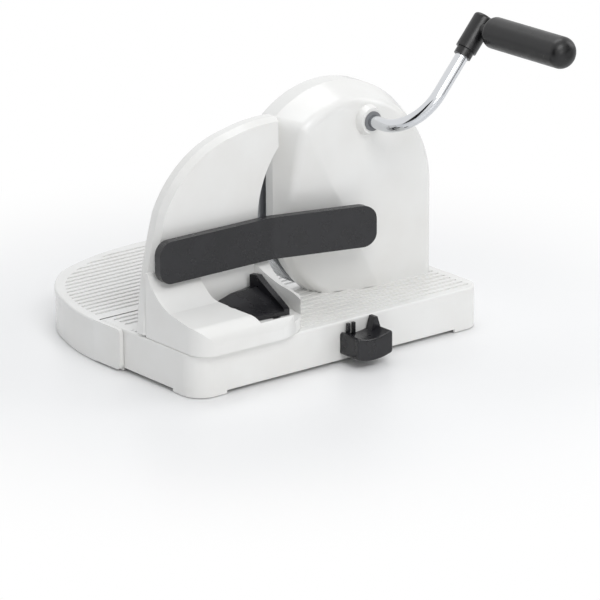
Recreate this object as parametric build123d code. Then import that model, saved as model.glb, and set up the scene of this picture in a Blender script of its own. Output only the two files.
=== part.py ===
from build123d import *
import os
from math import acos, atan2, cos, pi, radians, sin, sqrt, tan

os.makedirs("parts", exist_ok=True)

# Hand cranked bread slicer, millimetres. Z is up and the table is Z = 0. The origin is the middle
# of the suction pad under the base. The blade's plane is square to Y: bread lies on the +Y side,
# and the crank, the slices and the suction knob are on the -Y side.

# ---------------------------------------------------------------- driving dimensions
base_length = 332.0           # along X
base_height = 40.0            # table to the base's top face
front_depth = 104.0           # blade plane to the front wall
strip_depth = 38.0            # blade plane to the back wall
wall = 2.6                    # moulded walls of base and tray
top_wall = 3.0                # moulded top plates of base and tray
corner_radius = 20.0          # upright corners at the front
rim_radius = 2.0              # rounded top rim
shell_gap = 0.8               # base and tray walls above the table
arch_rise = 3.0               # wall bottoms between the corner feet
foot_length = 34.0            # corner feet along the walls

rib_pitch = 8.4               # grooves in the bread table
rib_width = 3.4
rib_depth = 1.2
rib_margin = 9.0              # plain border round the grooves

blade_radius = 85.0
blade_thickness = 1.5
blade_edge = 0.5              # thickness at the cutting edge
blade_bevel = 8.0             # width of the ground edge
blade_dip = 1.0               # the edge passes this far below the table top
blade_from_left = 224.0       # blade axis from the base's left end
slot_gap = 2.5                # room for the edge round the blade slot

suction_offset = 42.0         # suction pad's middle, left of the blade axis and in front of its plane

ring_gap = 12.0               # recess round the blade, outside its edge
arch_rim = 9.0                # gear housing's arch outside the recess
arch_lift = 4.0               # arch's middle above the blade axis
arch_front = 1.6              # arch rim proud of the blade plane
arch_depth = 16.0             # straight band of the arch
housing_wall = 2.6
housing_left = 68.0           # housing's left side from the blade axis
cover_depth = 46.0            # cover's front face behind the blade plane
cover_taper = 12.0            # how far the cover draws in over its depth
cover_round = 10.0            # rounded front edge of the cover
cover_lean = 8.0              # slanted left face of the cover, from upright, degrees
bar_room = 1.5                # that face behind the deflector at no slice thickness
ring_depth = 6.0              # recess floor behind the blade plane

crank_dx = 18.0               # crank axis from the blade axis
crank_dz = 77.0
gear_module = 2.0
crank_teeth = 20
idler_teeth = 24
blade_teeth = 16
gear_width = 8.0
gear_play = 0.14              # taken off each flank
boss_radius = 12.0
boss_face = 53.0              # boss face behind the blade plane

rod_diameter = 12.0
rod_bend = 44.0               # centre line radius of the crank's bend
arm_reach = 112.0             # arm's plane behind the blade plane
crank_angle = 49.0            # arm above +X at rest
grip_radius_at = 114.0        # crank axis to grip axis
sleeve_start = 84.0
sleeve_end = 126.0
sleeve_diameter = 20.0
grip_length = 104.0
grip_diameter = 29.0
grip_neck = 7.0

thickness_set = 14.0          # slice thickness as shown
thickness_max = 15.0
plate_thickness = 14.5
plate_gap = 14.0              # blade edge to the stop plate's hollow edge
plate_lift = 2.0              # stop plate's bottom above the table top
tip_gap = 2.5                 # stop plate's tip to the housing's left side
tip_height = 23.0             # tip above the end of the hollow edge
tip_round = 4.5
shoulder_round = 26.0
facing_flange = 4.4
facing_sheet = 0.8
facing_rib_height = 1.8
facing_rib_count = 17
facing_rib_pitch = 8.6

block_height = 30.0           # thumb block's top above the table top
foot_front = 97.0             # thumb block's front, behind the facing
foot_right = 131.0            # thumb block's right corner from the left end
foot_blend = 30.0             # hollow blend of block into plate
foot_clear = 0.5              # block above the table top

lever_from_left = 66.0        # lever's pivot from the left end
lever_back = 62.0             # lever's pivot behind the facing
lever_pin_radius = 38.0       # lever's pivot to its follower pin
lever_height = 12.0           # pocket floor under the lever, above the table top
lever_rise = 18.0             # lever's rear edge above that floor
rim_rise = 29.0               # raised rim at the lever's right side
rim_width = 6.0
pivot_diameter = 6.0
follower_diameter = 5.0

bar_height = 39.0
bar_lift = 51.0               # deflector's lower edge above the table top
bar_thickness = 8.0
bar_back = 25.0               # bar's back face behind the facing
bar_left = 5.0                # bar's left end from the left end of the base
bar_bend = 131.0
bar_end = 229.0
bar_angle = 16.0

tray_depth = 202.0            # blade plane to the tray's outer edge
tray_overhang = 4.6           # tray's ears outside the base's ends
ear_gap = 0.5                 # between an ear and the base
hinge_gap = 0.5               # between tray and strip when unfolded
fold_gap = 3.9                # folded tray's face to the arch rim
fold_lift = 1.2               # folded tray's edge above the table top
hinge_pin_diameter = 5.0

knob_width = 40.0
knob_height = 24.0
knob_reach = 26.0
knob_z = 20.0
cam_offset = 2.2
camshaft_diameter = 8.0
pad_radius = 33.0
pad_thickness = 2.6

running_fit = 0.08            # radial clearance of turning and sliding fits
press_fit = 0.0
screw_radius = 1.5
screw_head_radius = 3.0

# ---------------------------------------------------------------- places worked out from them
blade_x = suction_offset
blade_y = suction_offset
blade_z = base_height + blade_radius - blade_dip
base_left = blade_x - blade_from_left
base_right = base_left + base_length
base_middle = (base_left + base_right) / 2
base_front = blade_y - front_depth
strip_back = blade_y + strip_depth
crank_x = blade_x + crank_dx
crank_z = blade_z + crank_dz
ring_radius = blade_radius + ring_gap
arch_radius = ring_radius + arch_rim
face_y = blade_y - thickness_set              # bread side of the stop plate's ribs
foot_top = base_height + block_height
lever_floor = base_height + lever_height
bar_bottom = base_height + bar_lift
bar_top = bar_bottom + bar_height
bar_x1 = base_left + bar_bend
bar_slope = radians(bar_angle)
big = 3 * base_length                         # longer than anything that is cut


def box_between(x0, x1, y0, y1, z0, z1):
    centre = Pos((x0 + x1) / 2, (y0 + y1) / 2, (z0 + z1) / 2)
    return centre * Box(x1 - x0, y1 - y0, z1 - z0)


def rod_x(y, z, radius, x0, x1):
    return Pos((x0 + x1) / 2, y, z) * Rot(0, 90, 0) * Cylinder(radius, x1 - x0)


def rod_y(x, z, radius, y0, y1):
    return Pos(x, (y0 + y1) / 2, z) * Rot(90, 0, 0) * Cylinder(radius, y1 - y0)


def rod_z(x, y, radius, z0, z1):
    return Pos(x, y, (z0 + z1) / 2) * Cylinder(radius, z1 - z0)


def prism_y(outline, y0, y1):
    """A face drawn with X across and Z up, made solid from y0 to y1."""
    back = Plane(origin=(0, y1, 0), x_dir=(1, 0, 0), z_dir=(0, -1, 0))
    return extrude(back * outline, amount=y1 - y0)


def prism_x(outline, x0, x1):
    """A face drawn with Y across and Z up, made solid from x0 to x1."""
    side = Plane(origin=(x0, 0, 0), x_dir=(0, 1, 0), z_dir=(1, 0, 0))
    return extrude(side * outline, amount=x1 - x0)


def prism_z(outline, z0, z1):
    return extrude(Plane.XY.offset(z0) * outline, amount=z1 - z0)


def group(solids):
    return Compound(children=list(solids))


def save(shape, name):
    export_step(shape, "parts/" + name + ".step")


# ---------------------------------------------------------------- base shell
def base_plan(inset):
    """Plan of the base: rounded front corners, square back corners."""
    radius = corner_radius - inset
    plan = Pos(base_middle, (base_front + strip_back) / 2) * Rectangle(
        base_length - 2 * inset, strip_back - base_front - 2 * inset)
    return fillet(plan.vertices().sort_by(Axis.Y)[0:2], radius)


def table_grooves(x0, x1, y0, y1, top):
    """Grooves along X, spread evenly between y0 and y1."""
    count = int((y1 - y0) / rib_pitch)
    spare = (y1 - y0 - count * rib_pitch) / 2
    cuts = []
    for number in range(count + 1):
        y = y0 + spare + number * rib_pitch
        slot = Pos((x0 + x1) / 2, y) * SlotOverall(x1 - x0, rib_width)
        cuts.append(prism_z(slot, top - rib_depth, top + 1))
    return cuts


rail_x = [base_left + 26.0, base_left + 88.0]
rail_radius = 3.0
rail_z = 22.0
rail_y0 = base_front + wall + 2.0
rail_y1 = blade_y - 6.0
shoe_leg = 10.0                               # square legs of the shoes
leg_offset = 10.0                             # a leg stands beside its rail
leg_y = face_y - 60.0
leg_travel_back = thickness_set
leg_travel_front = thickness_max - thickness_set
slot_room = 0.6

lever_x = base_left + lever_from_left
lever_y = face_y - lever_back
lever_ratio = lever_pin_radius
lever_rest = (thickness_set - thickness_max / 2) / lever_ratio
follower_x = lever_x + lever_pin_radius * cos(lever_rest)
follower_y = lever_y + lever_pin_radius * sin(lever_rest)

hinge_z = (2 * base_height + arch_front + fold_gap + fold_lift - strip_depth - hinge_gap) / 2
hinge_y = blade_y + base_height + arch_front + fold_gap - hinge_z

slot_half = sqrt(blade_radius ** 2 - (blade_radius - blade_dip) ** 2) + 6.0

cover_plate_z = pad_thickness
cover_plate_thickness = 2.4
cover_screw_places = [(base_left + 130, base_front + 14), (base_right - 40, base_front + 14),
                      (base_left + 60, strip_back - 14), (base_right - 40, strip_back - 14)]
housing_screw_y = blade_y - 21.0
housing_screw_places = [(blade_x + step, housing_screw_y) for step in (-10.0, 36.0, 82.0)]
screw_boss_radius = 4.5

base_shell = prism_z(base_plan(0), shell_gap, base_height)
base_shell = fillet(base_shell.faces().sort_by(Axis.Z)[-1].edges(), rim_radius)
base_shell -= prism_z(base_plan(wall), shell_gap - 1, base_height - top_wall)
for x0, x1, y0, y1 in [
        (base_left + foot_length, base_right - foot_length, base_front - 1, base_front + 9),
        (base_left + foot_length, base_right - foot_length, strip_back - 9, strip_back + 1),
        (base_left - 1, base_left + 9, base_front + foot_length, strip_back - foot_length),
        (base_right - 9, base_right + 1, base_front + foot_length, strip_back - foot_length)]:
    base_shell -= box_between(x0, x1, y0, y1, 0, shell_gap + arch_rise)
for x, y in cover_screw_places:
    boss = rod_z(x, y, screw_boss_radius, cover_plate_z + cover_plate_thickness, base_height - 1.5)
    base_shell += boss - rod_z(x, y, screw_radius, 0, 24)
for pin_x0 in (base_left + wall, base_right - wall - 9):
    base_shell += rod_x(hinge_y, hinge_z, 7.0, pin_x0, pin_x0 + 9)
base_shell -= rod_x(hinge_y, hinge_z, hinge_pin_diameter / 2 + running_fit, base_left - 1,
                    base_left + wall + 8)
base_shell -= rod_x(hinge_y, hinge_z, hinge_pin_diameter / 2 + running_fit, base_right - wall - 8,
                    base_right + 1)
base_shell += rod_y(0, knob_z, camshaft_diameter / 2 + 3.5, base_front + 1, base_front + 20)
base_shell -= rod_y(0, knob_z, camshaft_diameter / 2 + running_fit, base_front - 1, base_front + 21)
for x in rail_x:
    for y0, y1 in ((rail_y0 - 2.0, rail_y0 + 5.0), (rail_y1 - 5.0, rail_y1)):
        hanger = box_between(x - 7, x + 7, y0, y1, rail_z - 7, base_height - 1.5)
        base_shell += hanger - rod_y(x, rail_z, rail_radius + press_fit, rail_y0, rail_y1 + 1)
    leg_half = shoe_leg / 2 + slot_room
    base_shell -= box_between(x - leg_offset - leg_half, x - leg_offset + leg_half,
                              leg_y - leg_half - leg_travel_front,
                              leg_y + leg_half + leg_travel_back, 30, base_height + 1)
follower_room = follower_diameter / 2 + 0.3
base_shell -= box_between(lever_x + lever_pin_radius * cos(0.25) - follower_room - 1,
                          lever_x + lever_pin_radius + follower_room + 1,
                          follower_y - follower_room, follower_y + follower_room, 30, base_height + 1)
base_shell -= box_between(blade_x - slot_half, blade_x + slot_half,
                          blade_y - blade_thickness - slot_gap, blade_y + slot_gap,
                          30, base_height + 1)
for x, y in housing_screw_places:
    base_shell -= rod_z(x, y, screw_radius + 0.3, 30, base_height + 1)
groove_ends = (base_left + rib_margin, base_right - rib_margin)
for cut in table_grooves(groove_ends[0], groove_ends[1], base_front + rib_margin,
                         blade_y - 8.0, base_height):
    base_shell -= cut
for cut in table_grooves(groove_ends[0], groove_ends[1], blade_y + 8.0,
                         strip_back - 5.0, base_height):
    base_shell -= cut
for number in range(5):
    mark_y = blade_y - 5.0 - 5.0 * number
    base_shell -= box_between(base_left + 3.2, base_left + 6.4, mark_y - 0.6, mark_y + 0.6,
                              base_height - 0.5, base_height + 1)
save(base_shell, "base_shell")

# ---------------------------------------------------------------- bottom cover, pads and their screws
cover_gap = 0.3
base_bottom = prism_z(base_plan(wall + cover_gap), cover_plate_z,
                      cover_plate_z + cover_plate_thickness)
pad_boss_radius = 10.0
base_bottom -= rod_z(0, 0, pad_boss_radius + 4.0, 0, 10)
foot_pad_radius = 7.0
foot_pad_stem = 2.5
foot_pad_places = [(base_left + 17, base_front + 17), (base_right - 17, base_front + 17),
                   (base_left + 15, strip_back - 15), (base_right - 15, strip_back - 15)]
for x, y in cover_screw_places:
    base_bottom -= rod_z(x, y, screw_radius, 0, 10)
for x, y in foot_pad_places:
    base_bottom -= rod_z(x, y, foot_pad_stem, 0, 10)
save(base_bottom, "base_bottom")

pads = []
for x, y in foot_pad_places:
    pads.append(rod_z(x, y, foot_pad_radius, 0, cover_plate_z)
                + rod_z(x, y, foot_pad_stem, cover_plate_z, cover_plate_z + cover_plate_thickness))
save(group(pads), "base_foot_pads")

screws = []
for x, y in cover_screw_places:
    screws.append(rod_z(x, y, screw_head_radius, cover_plate_z - 1.6, cover_plate_z)
                  + rod_z(x, y, screw_radius, cover_plate_z, 16))
save(group(screws), "bottom_screws")

socket_radius = 4.0
plunger_rod_radius = socket_radius - 0.3
suction_pad = rod_z(0, 0, pad_radius, 0, pad_thickness)
suction_pad = chamfer(suction_pad.edges().sort_by(Axis.Z)[-1:], 1.2)
suction_pad += rod_z(0, 0, pad_boss_radius, pad_thickness, 9.0)
suction_pad -= rod_z(0, 0, socket_radius, 3.0, 10.0)
save(suction_pad, "suction_pad")

rails = []
for x in rail_x:
    rails.append(rod_y(x, rail_z, rail_radius, rail_y0, rail_y1))
save(group(rails), "carriage_rails")

# ---------------------------------------------------------------- suction lever and plunger
cam_x = cam_offset * cos(pi / 4)
cam_z = knob_z - cam_offset * sin(pi / 4)
cam_pin_radius = 2.0
yoke_half_depth = 5.0
yoke_gap = 0.4
knob_face = base_front - 0.5
suction_camshaft = rod_y(0, knob_z, camshaft_diameter / 2, knob_face - 12, -yoke_half_depth - 3.5)
suction_camshaft += rod_y(0, knob_z, 6.0, -yoke_half_depth - 3.5, -yoke_half_depth - 0.5)
suction_camshaft += rod_y(cam_x, cam_z, cam_pin_radius, -yoke_half_depth - 1, yoke_half_depth + 1)
save(suction_camshaft, "suction_camshaft")

half_knob = knob_width / 2
knob_bottom = knob_z - knob_height / 2
knob_top = knob_z + knob_height / 2
knob_outline = make_face(
    ThreePointArc((-half_knob, knob_bottom + 2), (0, knob_bottom - 1.5), (half_knob, knob_bottom + 2))
    + Line((half_knob, knob_bottom + 2), (half_knob, knob_top))
    + ThreePointArc((half_knob, knob_top), (4, knob_top - 5), (-half_knob, knob_top - 1))
    + Line((-half_knob, knob_top - 1), (-half_knob, knob_bottom + 2)))
suction_knob = prism_y(knob_outline, knob_face - knob_reach, knob_face)
upright = suction_knob.edges().filter_by(Axis.Y)
suction_knob = fillet(upright, 2.5)
suction_knob = fillet(suction_knob.faces().sort_by(Axis.Y)[0].edges(), 1.6)
wing = make_face(Polyline([(half_knob - 12, knob_top - 7), (half_knob - 0.3, knob_top - 3),
                           (half_knob - 4, knob_top + 8), (half_knob - 7, knob_top + 8)], close=True))
suction_knob += prism_y(wing, knob_face - 9, knob_face - 1)
for prong_x in (-half_knob + 7.0, -half_knob + 13.0):
    suction_knob += box_between(prong_x - 1.3, prong_x + 1.3, knob_face - 4.5, knob_face - 1.5,
                                knob_top - 8, knob_top + 6)
suction_knob -= rod_y(0, knob_z, camshaft_diameter / 2 + press_fit, knob_face - 12, knob_face + 1)
save(suction_knob, "suction_knob")

yoke_half_width = 9.0
suction_plunger = box_between(-yoke_half_width, yoke_half_width, -yoke_half_depth, yoke_half_depth,
                              cam_z - 6, cam_z + 6)
slot_height = 2 * (cam_pin_radius + yoke_gap)
suction_plunger -= box_between(-yoke_half_width + 2.5, yoke_half_width - 2.5, -yoke_half_depth - 1,
                               yoke_half_depth + 1, cam_z - slot_height / 2, cam_z + slot_height / 2)
suction_plunger += rod_z(0, 0, plunger_rod_radius, 3.4, cam_z - 5.5)
save(suction_plunger, "suction_plunger")

# ---------------------------------------------------------------- gear housing
def housing_outline(inset, drop=0.0):
    """Arch about the blade axis with a hollow left side, X across and Z up."""
    radius = arch_radius - inset
    left = blade_x - housing_left + inset
    middle_z = blade_z + arch_lift
    corner_z = middle_z + sqrt(radius ** 2 - (housing_left - inset) ** 2)
    right = blade_x + radius
    bottom = base_height + drop
    foot_x = blade_x - 27.0 + inset
    return make_face(
        Line((left, blade_z - 12), (left, corner_z))
        + ThreePointArc((left, corner_z), (blade_x, middle_z + radius), (right, middle_z))
        + Line((right, middle_z), (right, bottom))
        + Line((right, bottom), (foot_x, bottom))
        + ThreePointArc((foot_x, bottom), (blade_x - 55.0 + inset, blade_z - 50.0),
                        (left, blade_z - 12)))


band_back = blade_y - arch_depth
cover_front = blade_y - cover_depth
recess_floor = blade_y - ring_depth
frame_back = recess_floor - housing_wall
corner_round = 9.0


def rounded_housing(inset, drop=0.0):
    """The corner grows rounder as the outline draws in, so the front edge can be rounded."""
    face = housing_outline(inset, drop)
    top_left = face.vertices().sort_by_distance((blade_x - housing_left, blade_z + arch_radius))[0]
    return fillet(top_left, corner_round + inset / 2)


def housing_loft(inset, drop, y_back, y_front):
    """Solid that draws in from the arch band to the cover's front."""
    sections = []
    for y in (y_back, y_front):
        depth = (band_back - y) / (band_back - cover_front)
        plane = Plane(origin=(0, y, 0), x_dir=(1, 0, 0), z_dir=(0, -1, 0))
        sections.append(plane * rounded_housing(inset + cover_taper * depth, drop))
    return loft(sections)


def front_rounded(grow):
    """Cover's solid: its left front slants clear of the deflector, its front edges are round."""
    solid = housing_loft(grow, grow, band_back, cover_front + grow)
    bar_back_y = blade_y - bar_back + bar_room + grow
    slant = Plane(origin=(bar_x1, bar_back_y, bar_top), x_dir=(cos(bar_slope), -sin(bar_slope), 0),
                  z_dir=(-sin(bar_slope), -cos(bar_slope), tan(radians(-cover_lean))))
    solid -= slant * Box(big, big, big, align=(Align.CENTER, Align.CENTER, Align.MIN))
    front_edges = {}                          # each edge once, also where two faces share it
    for face in solid.faces():
        if face.normal_at().Y < -0.8:
            for edge in face.edges():
                if edge.center().Z > base_height + grow + 1:
                    front_edges[edge] = True
    return fillet(list(front_edges), cover_round - grow)


gear_y1 = frame_back - 2.4
gear_y0 = gear_y1 - gear_width
sleeve_radius = 8.0
axle_radius = 5.0
idler_pin_radius = 4.0

housing_frame = prism_y(rounded_housing(0), band_back, blade_y + arch_front)
housing_frame -= prism_y(rounded_housing(housing_wall, housing_wall), band_back - 1, frame_back)
housing_frame -= rod_y(blade_x, blade_z, ring_radius, recess_floor, blade_y + arch_front + 1)
housing_frame -= rod_y(blade_x, blade_z, sleeve_radius + 1.0, band_back, blade_y)
case_screw_places = [(blade_x - 46, blade_z - 14), (blade_x + 58, blade_z + 6),
                     (blade_x + 26, blade_z - 58)]
for x, z in case_screw_places:
    housing_frame -= rod_y(x, z, screw_radius, band_back, blade_y)
    housing_frame -= rod_y(x, z, screw_head_radius, recess_floor - 1.6, recess_floor + 1)
save(housing_frame, "housing_frame")

# Idler: on circles about the crank axis and the blade axis
crank_pitch = gear_module * crank_teeth / 2
idler_pitch = gear_module * idler_teeth / 2
blade_pitch = gear_module * blade_teeth / 2
axis_distance = sqrt(crank_dx ** 2 + crank_dz ** 2)
line_angle = atan2(crank_dz, crank_dx)
to_idler = blade_pitch + idler_pitch
from_idler = crank_pitch + idler_pitch
opening_angle = acos((to_idler ** 2 + axis_distance ** 2 - from_idler ** 2)
                     / (2 * to_idler * axis_distance))
idler_x = blade_x + to_idler * cos(line_angle - opening_angle)
idler_z = blade_z + to_idler * sin(line_angle - opening_angle)

housing_cover = front_rounded(0)
boss_y = blade_y - boss_face
boss_root = blade_y - 24.0
boss_length = boss_root - boss_y
housing_cover += (Pos(crank_x, boss_y + boss_length / 2, crank_z) * Rot(90, 0, 0)
                  * Cone(boss_radius + 9.0, boss_radius, boss_length))
cavity = front_rounded(housing_wall)
bush_radius = 9.0
bush_y1 = gear_y0 - 1.9
axle_y0 = cover_front + 5.0
cavity -= rod_y(crank_x, crank_z, bush_radius + 3.0, boss_y, bush_y1)
cavity -= rod_y(blade_x, blade_z, 9.0, cover_front, gear_y0 - 1.5)
cavity -= rod_y(idler_x, idler_z, 8.0, cover_front, gear_y0 - 1.5)
for x, z in case_screw_places:
    cavity -= rod_y(x, z, 4.5, cover_front, band_back)
for x, y in housing_screw_places:
    cavity -= rod_z(x, y, 4.5, base_height, base_height + 14)
housing_cover -= cavity
housing_cover -= rod_y(crank_x, crank_z, bush_radius, boss_y - 1, bush_y1)
housing_cover -= rod_y(crank_x, crank_z, bush_radius - 1.5, boss_y - 1, bush_y1 + 1)
housing_cover -= rod_y(blade_x, blade_z, axle_radius, axle_y0, band_back)
housing_cover -= rod_y(idler_x, idler_z, idler_pin_radius, axle_y0, band_back)
for x, z in case_screw_places:
    housing_cover -= rod_y(x, z, screw_radius, band_back - 9, band_back)
for x, y in housing_screw_places:
    housing_cover -= rod_z(x, y, screw_radius, base_height - 1, base_height + 12)
save(housing_cover, "housing_cover")

screws = []
for x, z in case_screw_places:
    screws.append(rod_y(x, z, screw_head_radius, recess_floor - 1.6, recess_floor)
                  + rod_y(x, z, screw_radius, band_back - 8, recess_floor - 1.5))
save(group(screws), "case_screws")
screws = []
for x, y in housing_screw_places:
    screws.append(rod_z(x, y, screw_head_radius, base_height - top_wall - 1.8, base_height - top_wall)
                  + rod_z(x, y, screw_radius, base_height - top_wall - 0.1, base_height + 10))
save(group(screws), "housing_screws")

crank_bush = (rod_y(crank_x, crank_z, bush_radius, boss_y - 1.5, bush_y1)
              - rod_y(crank_x, crank_z, rod_diameter / 2 + running_fit, boss_y - 2, bush_y1 + 1))
save(crank_bush, "crank_bush")

cap_radius = 20.0
head_radius = 7.5
blade_axle = rod_y(blade_x, blade_z, axle_radius, axle_y0, blade_y + 0.6)
blade_axle += rod_y(blade_x, blade_z, head_radius, blade_y + 0.6, blade_y + 1.8)
save(blade_axle, "blade_axle")
idler_pin = rod_y(idler_x, idler_z, idler_pin_radius, axle_y0, gear_y1 + 0.6)
save(idler_pin, "idler_pin")

# ---------------------------------------------------------------- gears
def gear_face(teeth, bore, phase):
    """Straight-flanked teeth on the pitch circle, with a tooth's middle at the angle phase."""
    pitch_radius = gear_module * teeth / 2
    rings = [(pitch_radius - 1.2 * gear_module, 1.06 * gear_module - gear_play),
             (pitch_radius, pi * gear_module / 4 - gear_play),
             (pitch_radius + 0.9 * gear_module, 0.38 * gear_module - gear_play)]
    points = []
    for tooth in range(teeth):
        middle = phase + 2 * pi * tooth / teeth
        for side, order in ((-1, rings), (1, rings[::-1])):
            for radius, half_width in order:
                angle = middle + side * half_width / radius
                points.append((radius * cos(angle), radius * sin(angle)))
    return make_face(Polyline(points, close=True)) - Circle(bore)


def meshing_phase(phase, teeth, mate_teeth, direction):
    """Phase of a mate that lies in a direction, so that a gap meets a tooth."""
    part = (direction - phase) * teeth / (2 * pi)
    return direction + pi - (0.5 - part) * 2 * pi / mate_teeth


crank_phase = 0.0
toward_idler = atan2(idler_z - crank_z, idler_x - crank_x)
idler_phase = meshing_phase(crank_phase, crank_teeth, idler_teeth, toward_idler)
toward_blade = atan2(blade_z - idler_z, blade_x - idler_x)
blade_phase = meshing_phase(idler_phase, idler_teeth, blade_teeth, toward_blade)

crank_gear = prism_y(Pos(crank_x, crank_z) * gear_face(crank_teeth, rod_diameter / 2, crank_phase),
                     gear_y0, gear_y1)
save(crank_gear, "crank_gear")
idler_gear = prism_y(Pos(idler_x, idler_z)
                     * gear_face(idler_teeth, idler_pin_radius + running_fit, idler_phase),
                     gear_y0, gear_y1)
save(idler_gear, "idler_gear")
blade_gear = prism_y(Pos(blade_x, blade_z) * gear_face(blade_teeth, sleeve_radius, blade_phase),
                     gear_y0, gear_y1)
save(blade_gear, "blade_gear")

# ---------------------------------------------------------------- blade group
spigot_radius = 12.0
carrier_radius = 31.0
blade_screw_circle = 27.0
blade_screw_angles = [radians(200), radians(320), radians(80)]
blade_screw_places = [(blade_x + blade_screw_circle * cos(angle),
                       blade_z + blade_screw_circle * sin(angle)) for angle in blade_screw_angles]
blade_back = blade_y - blade_thickness
blade = rod_y(blade_x, blade_z, blade_radius, blade_back, blade_y)
bevel_ring = make_face(Polyline([
    (blade_radius - blade_bevel, blade_back - 0.01), (blade_radius + 1, blade_back - 0.01),
    (blade_radius + 1, blade_y - blade_edge)], close=True))
bevel_plane = Plane(origin=(blade_x, 0, blade_z), x_dir=(1, 0, 0), z_dir=(0, 0, 1))
blade -= revolve(bevel_plane * bevel_ring, Axis((blade_x, 0, blade_z), (0, 1, 0)))
blade -= rod_y(blade_x, blade_z, spigot_radius, blade_back - 1, blade_y + 1)
for x, z in blade_screw_places:
    blade -= rod_y(x, z, screw_radius, blade_back - 1, blade_y + 1)
save(blade, "blade")

blade_carrier = rod_y(blade_x, blade_z, carrier_radius, blade_back - 3, blade_back)
blade_carrier += rod_y(blade_x, blade_z, spigot_radius, blade_back, blade_y)
blade_carrier += rod_y(blade_x, blade_z, sleeve_radius, gear_y0 - 0.5, blade_back)
blade_carrier -= rod_y(blade_x, blade_z, axle_radius + running_fit, gear_y0 - 2, blade_y + 1)
for x, z in blade_screw_places:
    blade_carrier -= rod_y(x, z, screw_radius, blade_back - 4, blade_back + 0.5)
save(blade_carrier, "blade_carrier")

hub_cap = rod_y(blade_x, blade_z, cap_radius, blade_y, blade_y + 3.4)
hub_cap = fillet(hub_cap.faces().sort_by(Axis.Y)[-1].edges(), 1.4)
hub_cap -= rod_y(blade_x, blade_z, cap_radius - 4, blade_y - 1, blade_y + 2.2)
hub_cap -= box_between(blade_x - 6, blade_x + 6, blade_y + 2.8, blade_y + 4,
                       blade_z - 0.8, blade_z + 0.8)
save(hub_cap, "hub_cap")

screws = []
for x, z in blade_screw_places:
    head = rod_y(x, z, screw_head_radius, blade_y, blade_y + 1.4)
    for turn in (0, 90):
        head -= Pos(x, blade_y + 1.4, z) * Rot(0, turn, 0) * Box(3.6, 1.4, 0.8)
    screws.append(head + rod_y(x, z, screw_radius, blade_back - 2.8, blade_y))
save(group(screws), "blade_screws")

# ---------------------------------------------------------------- crank
arm_x = cos(radians(crank_angle))
arm_z = sin(radians(crank_angle))
arm_y = blade_y - arm_reach


def along_arm(distance, y=arm_y):
    return Vector(crank_x + arm_x * distance, y, crank_z + arm_z * distance)


def arm_cylinder(radius, start, end):
    middle = along_arm((start + end) / 2)
    plane = Plane(origin=middle, z_dir=(arm_x, 0, arm_z))
    return plane * Cylinder(radius, end - start)


rod_end = sleeve_end - 8.0
shaft_start = Vector(crank_x, gear_y1 + 0.5, crank_z)
rod_path = FilletPolyline(shaft_start, along_arm(0), along_arm(rod_end), radius=rod_bend)
rod_section = Plane(origin=shaft_start, z_dir=(0, -1, 0)) * Circle(rod_diameter / 2)
crank_rod = sweep(rod_section, path=rod_path)
clip_groove = 1.2
groove_y = gear_y0 - 1.6
crank_rod -= (rod_y(crank_x, crank_z, rod_diameter, groove_y, groove_y + clip_groove)
              - rod_y(crank_x, crank_z, rod_diameter / 2 - 1, groove_y - 1, groove_y + 3))
save(crank_rod, "crank_rod")
crank_clip = (rod_y(crank_x, crank_z, 9.0, groove_y, groove_y + clip_groove)
              - rod_y(crank_x, crank_z, rod_diameter / 2 - 1, groove_y - 1, groove_y + 3)
              - box_between(crank_x - 4, crank_x + 4, groove_y - 1, groove_y + 3,
                            crank_z - 12, crank_z))
save(crank_clip, "crank_clip")

sleeve_radius_out = sleeve_diameter / 2
grip_start = arm_y - sleeve_radius_out - grip_neck
grip_x = crank_x + arm_x * grip_radius_at
grip_z = crank_z + arm_z * grip_radius_at
crank_sleeve = arm_cylinder(sleeve_radius_out, sleeve_start + 7, sleeve_end)
crank_sleeve = fillet(crank_sleeve.edges().sort_by_distance(along_arm(sleeve_end))[0], 3.0)
crank_sleeve += arm_cylinder(sleeve_radius_out - 1.8, sleeve_start, sleeve_start + 8)
crank_sleeve += rod_y(grip_x, grip_z, 6.5, grip_start + 0.5, arm_y)
crank_sleeve -= arm_cylinder(rod_diameter / 2 + running_fit, sleeve_start - 1, rod_end + 0.5)
grip_axle_radius = 3.5
axle_end = grip_start - 82.0
crank_sleeve -= rod_y(grip_x, grip_z, grip_axle_radius, grip_start, arm_y - rod_diameter / 2 - 1)
save(crank_sleeve, "crank_sleeve")
grip_axle = rod_y(grip_x, grip_z, grip_axle_radius, axle_end, arm_y - rod_diameter / 2 - 1)
save(grip_axle, "grip_axle")

grip = rod_y(grip_x, grip_z, grip_diameter / 2, grip_start - grip_length, grip_start)
grip = fillet(grip.faces().sort_by(Axis.Y)[0].edges(), 11.0)
grip = fillet(grip.faces().sort_by(Axis.Y)[-1].edges(), 6.0)
grip -= rod_y(grip_x, grip_z, grip_axle_radius + running_fit, axle_end - 1, grip_start + 1)
save(grip, "grip")

# ---------------------------------------------------------------- stop plate with its thumb block
plate_front = face_y - facing_flange
plate_back = plate_front - plate_thickness
hollow_radius = blade_radius + plate_gap
plate_bottom = base_height + plate_lift
tip_x = blade_x - housing_left - tip_gap


def hollow_edge_x(z, inset):
    return blade_x - sqrt((hollow_radius + inset) ** 2 - (z - blade_z) ** 2)


def hollow_z(x, inset):
    return blade_z + sqrt((hollow_radius + inset) ** 2 - (x - blade_x) ** 2)


def plate_point(across, up):
    """Point of the plate, as parts of its width and height at the tip."""
    return (base_left + across * (tip_x - base_left),
            plate_bottom + up * (hollow_z(tip_x, 0) + tip_height - plate_bottom))


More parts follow.
